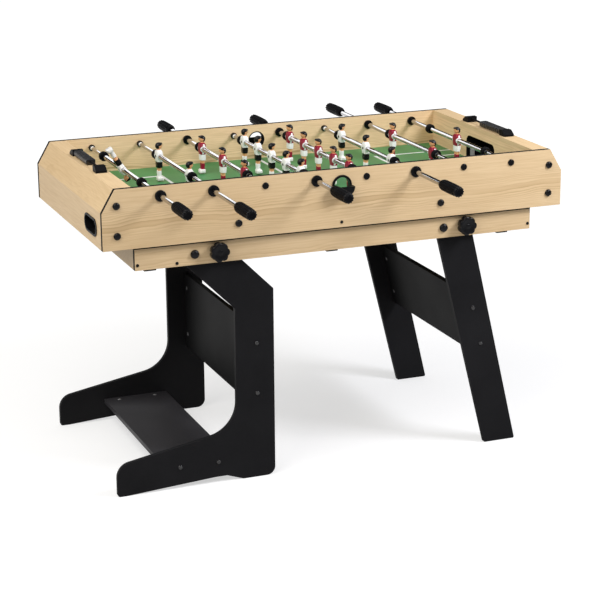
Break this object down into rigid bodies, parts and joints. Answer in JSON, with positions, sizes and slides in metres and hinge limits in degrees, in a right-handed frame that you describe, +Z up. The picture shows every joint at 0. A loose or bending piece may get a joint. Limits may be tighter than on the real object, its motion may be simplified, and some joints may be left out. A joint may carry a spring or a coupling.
{
  "type": "foosball table",
  "caption": "Fold-up foosball table with telescopic rods of men, abacus scorers, ball returns, an L-shaped stand and a slanted leg that fold under the cabinet.",
  "frame": {"origin": "on the floor under the middle of the table", "axes": "+X along the table to the slanted leg, +Y to the back long side, +Z up"},
  "size_m": [1.214, 1.146, 0.8091],
  "materials": {
    "maple_board": "pale wood-print laminate, satin",
    "black_board": "charcoal laminate, satin",
    "white_board": "white laminate",
    "green_field": "green printed board with white lines",
    "chrome_rod": "polished",
    "black_steel": "black, gloss",
    "black_plastic": "black, satin",
    "black_rubber": "black, soft",
    "white_men": "painted, white shirt and black shorts",
    "maroon_men": "painted, maroon shirt and white shorts"
  },
  "bodies": {
    "cabinet": {"front_panel": "maple_board", "back_panel": "maple_board", "end_covers": "maple_board", "end_walls": "maple_board", "playfield": "green_field", "goal_boxes": "white_board", "corner_blocks": "white_board", "apron_boards": "maple_board", "apron_pads": "black_rubber", "ball_ports": "black_plastic", "ball_cups": "black_plastic", "rod_bearings": "black_plastic", "cabinet_bolts": "black_steel", "pivot_bolts": "black_steel", "score_frames": "black_plastic"},
    "rod_1_core": {"rod_1_inner_rod": "chrome_rod"},
    "rod_1_slider": {"rod_1_tube_and_screws": "chrome_rod", "rod_1_men": "white_men", "rod_1_grip_and_bumpers": "black_rubber"},
    "rod_2_core": {"rod_2_inner_rod": "chrome_rod"},
    "rod_2_slider": {"rod_2_tube_and_screws": "chrome_rod", "rod_2_men": "white_men", "rod_2_grip_and_bumpers": "black_rubber"},
    "rod_3_core": {"rod_3_inner_rod": "chrome_rod"},
    "rod_3_slider": {"rod_3_tube_and_screws": "chrome_rod", "rod_3_men": "maroon_men", "rod_3_grip_and_bumpers": "black_rubber"},
    "rod_4_core": {"rod_4_inner_rod": "chrome_rod"},
    "rod_4_slider": {"rod_4_tube_and_screws": "chrome_rod", "rod_4_men": "white_men", "rod_4_grip_and_bumpers": "black_rubber"},
    "rod_5_core": {"rod_5_inner_rod": "chrome_rod"},
    "rod_5_slider": {"rod_5_tube_and_screws": "chrome_rod", "rod_5_men": "maroon_men", "rod_5_grip_and_bumpers": "black_rubber"},
    "rod_6_core": {"rod_6_inner_rod": "chrome_rod"},
    "rod_6_slider": {"rod_6_tube_and_screws": "chrome_rod", "rod_6_men": "white_men", "rod_6_grip_and_bumpers": "black_rubber"},
    "rod_7_core": {"rod_7_inner_rod": "chrome_rod"},
    "rod_7_slider": {"rod_7_tube_and_screws": "chrome_rod", "rod_7_men": "maroon_men", "rod_7_grip_and_bumpers": "black_rubber"},
    "rod_8_core": {"rod_8_inner_rod": "chrome_rod"},
    "rod_8_slider": {"rod_8_tube_and_screws": "chrome_rod", "rod_8_men": "maroon_men", "rod_8_grip_and_bumpers": "black_rubber"},
    "stand": {"stand_sides": "black_board", "stand_post_board": "black_board", "stand_foot_board": "black_board", "stand_bolts": "black_steel"},
    "leg": {"leg_sides": "black_board", "leg_cross_board": "black_board", "leg_bolts": "black_steel"},
    "stand_knob_front": {"stand_knob_front": "black_plastic"},
    "stand_knob_back": {"stand_knob_back": "black_plastic"},
    "leg_knob_front": {"leg_knob_front": "black_plastic"},
    "leg_knob_back": {"leg_knob_back": "black_plastic"},
    "score_beads_left": {"score_beads_left": "black_plastic"},
    "score_beads_right": {"score_beads_right": "black_plastic"}
  },
  "joints": [
    {"name": "rod_1_spin", "type": "hinge", "parent": "cabinet", "child": "rod_1_core", "pos_m": [-0.461, 0, 0.7503], "axis": [0, 1, 0], "continuous": true},
    {"name": "rod_1_push", "type": "slide", "parent": "rod_1_core", "child": "rod_1_slider", "axis": [0, 1, 0], "range_m": [-0.1247, 0.1004]},
    {"name": "rod_2_spin", "type": "hinge", "parent": "cabinet", "child": "rod_2_core", "pos_m": [-0.32929, 0, 0.7503], "axis": [0, 1, 0], "continuous": true},
    {"name": "rod_2_push", "type": "slide", "parent": "rod_2_core", "child": "rod_2_slider", "axis": [0, 1, 0], "range_m": [-0.1356, 0.1313]},
    {"name": "rod_3_spin", "type": "hinge", "parent": "cabinet", "child": "rod_3_core", "pos_m": [-0.19757, 0, 0.7503], "axis": [0, 1, 0], "continuous": true},
    {"name": "rod_3_push", "type": "slide", "parent": "rod_3_core", "child": "rod_3_slider", "axis": [0, 1, 0], "range_m": [-0.0973, 0.0936]},
    {"name": "rod_4_spin", "type": "hinge", "parent": "cabinet", "child": "rod_4_core", "pos_m": [-0.06586, 0, 0.7503], "axis": [0, 1, 0], "continuous": true},
    {"name": "rod_4_push", "type": "slide", "parent": "rod_4_core", "child": "rod_4_slider", "axis": [0, 1, 0], "range_m": [-0.0586, 0.0503]},
    {"name": "rod_5_spin", "type": "hinge", "parent": "cabinet", "child": "rod_5_core", "pos_m": [0.06586, 0, 0.7503], "axis": [0, 1, 0], "continuous": true},
    {"name": "rod_5_push", "type": "slide", "parent": "rod_5_core", "child": "rod_5_slider", "axis": [0, 1, 0], "range_m": [-0.0603, 0.0486]},
    {"name": "rod_6_spin", "type": "hinge", "parent": "cabinet", "child": "rod_6_core", "pos_m": [0.19757, 0, 0.7503], "axis": [0, 1, 0], "continuous": true},
    {"name": "rod_6_push", "type": "slide", "parent": "rod_6_core", "child": "rod_6_slider", "axis": [0, 1, 0], "range_m": [-0.1016, 0.0893]},
    {"name": "rod_7_spin", "type": "hinge", "parent": "cabinet", "child": "rod_7_core", "pos_m": [0.32929, 0, 0.7503], "axis": [0, 1, 0], "continuous": true},
    {"name": "rod_7_push", "type": "slide", "parent": "rod_7_core", "child": "rod_7_slider", "axis": [0, 1, 0], "range_m": [-0.1313, 0.1356]},
    {"name": "rod_8_spin", "type": "hinge", "parent": "cabinet", "child": "rod_8_core", "pos_m": [0.461, 0, 0.7503], "axis": [0, 1, 0], "continuous": true},
    {"name": "rod_8_push", "type": "slide", "parent": "rod_8_core", "child": "rod_8_slider", "axis": [0, 1, 0], "range_m": [-0.1134, 0.1117]},
    {"name": "stand_fold", "type": "hinge", "parent": "cabinet", "child": "stand", "pos_m": [-0.3755, 0, 0.5965], "axis": [0, 1, 0], "range_deg": [0, 90]},
    {"name": "leg_fold", "type": "hinge", "parent": "cabinet", "child": "leg", "pos_m": [0.2815, 0, 0.5965], "axis": [0, 1, 0], "range_deg": [0, 103.64]},
    {"name": "stand_knob_front_turn", "type": "hinge", "parent": "cabinet", "child": "stand_knob_front", "pos_m": [-0.3185, 0, 0.6], "axis": [0, 1, 0], "continuous": true},
    {"name": "stand_knob_back_turn", "type": "hinge", "parent": "cabinet", "child": "stand_knob_back", "pos_m": [-0.3185, 0, 0.6], "axis": [0, 1, 0], "continuous": true},
    {"name": "leg_knob_front_turn", "type": "hinge", "parent": "cabinet", "child": "leg_knob_front", "pos_m": [0.3385, 0, 0.6], "axis": [0, 1, 0], "continuous": true},
    {"name": "leg_knob_back_turn", "type": "hinge", "parent": "cabinet", "child": "leg_knob_back", "pos_m": [0.3385, 0, 0.6], "axis": [0, 1, 0], "continuous": true},
    {"name": "score_beads_left_slide", "type": "slide", "parent": "cabinet", "child": "score_beads_left", "axis": [0, 1, 0], "range_m": [-0.0647, 0]},
    {"name": "score_beads_right_slide", "type": "slide", "parent": "cabinet", "child": "score_beads_right", "axis": [0, 1, 0], "range_m": [0, 0.0647]}
  ],
  "couplings": [
    {"joint": "leg_fold", "follows": "stand_fold", "ratio": 1.1514}
  ]
}
